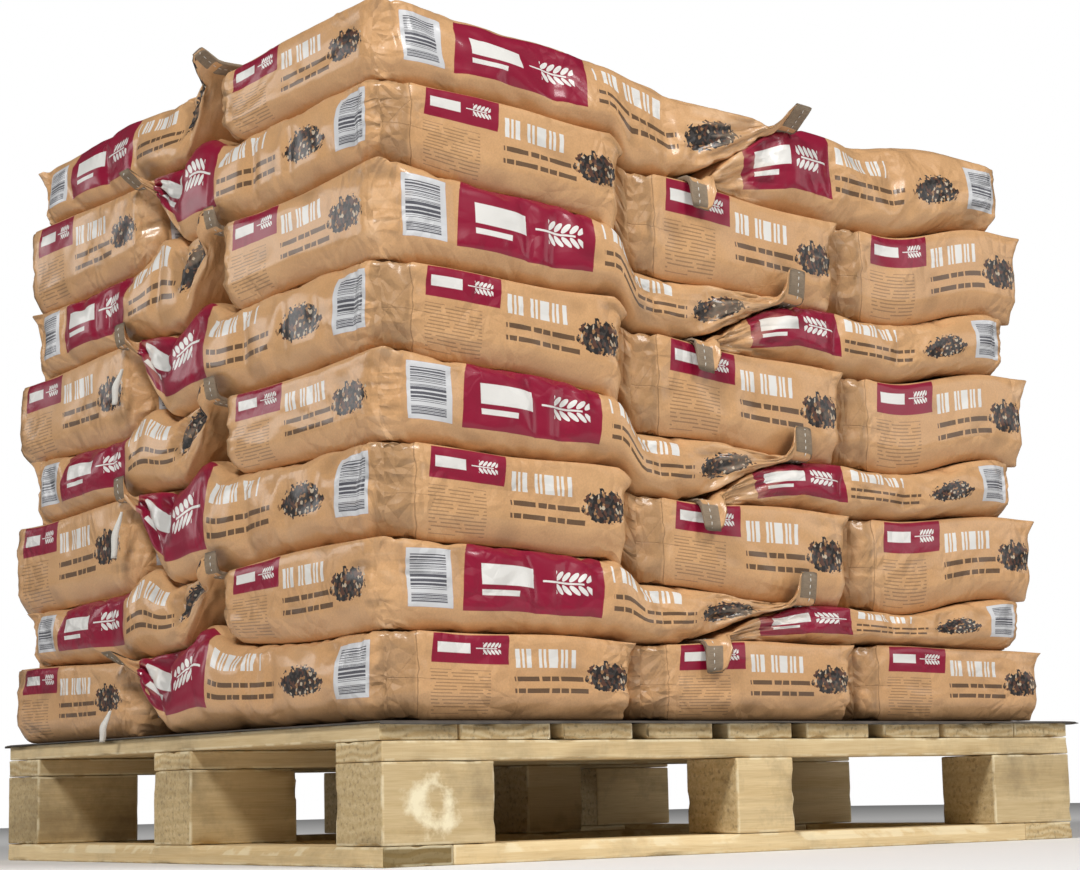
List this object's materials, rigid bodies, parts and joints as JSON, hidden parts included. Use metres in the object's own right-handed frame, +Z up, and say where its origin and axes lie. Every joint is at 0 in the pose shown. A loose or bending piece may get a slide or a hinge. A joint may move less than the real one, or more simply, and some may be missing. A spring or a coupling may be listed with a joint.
{
  "type": "pallet of sacks",
  "caption": "Timber block pallet loaded with layers of filled paper sacks in an interlocking pattern, on a thin slip sheet.",
  "frame": {"origin": "on the floor under the middle of the pallet", "axes": "+X along the pallet's long side, to the right as the front is seen; the front, with three flat sack ends in the lowest layer, faces -Y; +Z up"},
  "size_m": [1.226, 1.0256, 1.0475],
  "materials": {
    "wood_board": "sawn softwood boards, dry and pale yellow, with soft grain and scuffed edges",
    "wood_block": "sawn softwood blocks, dry, with open grain and small cracks",
    "slip_sheet": "thin dark grey board, matt, worn lighter along its edges",
    "sack_paper": "smooth brown kraft paper with a coated sheen, printed, with fine creases",
    "sack_tape": "grey-brown crepe tape over the sewn mouth, with a pale thread",
    "nail": "dull steel nail heads"
  },
  "bodies": {
    "root": {"block_front_left": "wood_block", "block_front_centre": "wood_block", "block_front_right": "wood_block", "block_middle_left": "wood_block", "block_middle_centre": "wood_block", "block_middle_right": "wood_block", "block_back_left": "wood_block", "block_back_centre": "wood_block", "block_back_right": "wood_block", "base_board_left": "wood_board", "base_board_right": "wood_board", "base_board_front": "wood_board", "base_board_middle": "wood_board", "base_board_back": "wood_board", "stringer_front": "wood_board", "stringer_middle": "wood_board", "stringer_back": "wood_board", "deck_boards": "wood_board", "slip_sheet": "slip_sheet", "sack_1_front_left": "sack_paper", "sack_1_front_middle": "sack_paper", "sack_1_front_right": "sack_paper", "sack_1_back_left": "sack_paper", "sack_1_back_right": "sack_paper", "sack_2_back_left": "sack_paper", "sack_2_back_middle": "sack_paper", "sack_2_back_right": "sack_paper", "sack_2_front_left": "sack_paper", "sack_2_front_right": "sack_paper", "sack_3_front_left": "sack_paper", "sack_3_front_middle": "sack_paper", "sack_3_front_right": "sack_paper", "sack_3_back_left": "sack_paper", "sack_3_back_right": "sack_paper", "sack_4_back_left": "sack_paper", "sack_4_back_middle": "sack_paper", "sack_4_back_right": "sack_paper", "sack_4_front_left": "sack_paper", "sack_4_front_right": "sack_paper", "sack_5_front_left": "sack_paper", "sack_5_front_middle": "sack_paper", "sack_5_front_right": "sack_paper", "sack_5_back_left": "sack_paper", "sack_5_back_right": "sack_paper", "sack_6_back_left": "sack_paper", "sack_6_back_middle": "sack_paper", "sack_6_back_right": "sack_paper", "sack_6_front_left": "sack_paper", "sack_6_front_right": "sack_paper", "sack_7_front_left": "sack_paper", "sack_7_front_middle": "sack_paper", "sack_7_front_right": "sack_paper", "sack_7_back_left": "sack_paper", "sack_7_back_right": "sack_paper", "sack_8_back_left": "sack_paper", "sack_8_back_middle": "sack_paper", "sack_8_back_right": "sack_paper", "sack_8_front_left": "sack_paper", "sack_8_front_right": "sack_paper"}
  },
  "joints": []
}
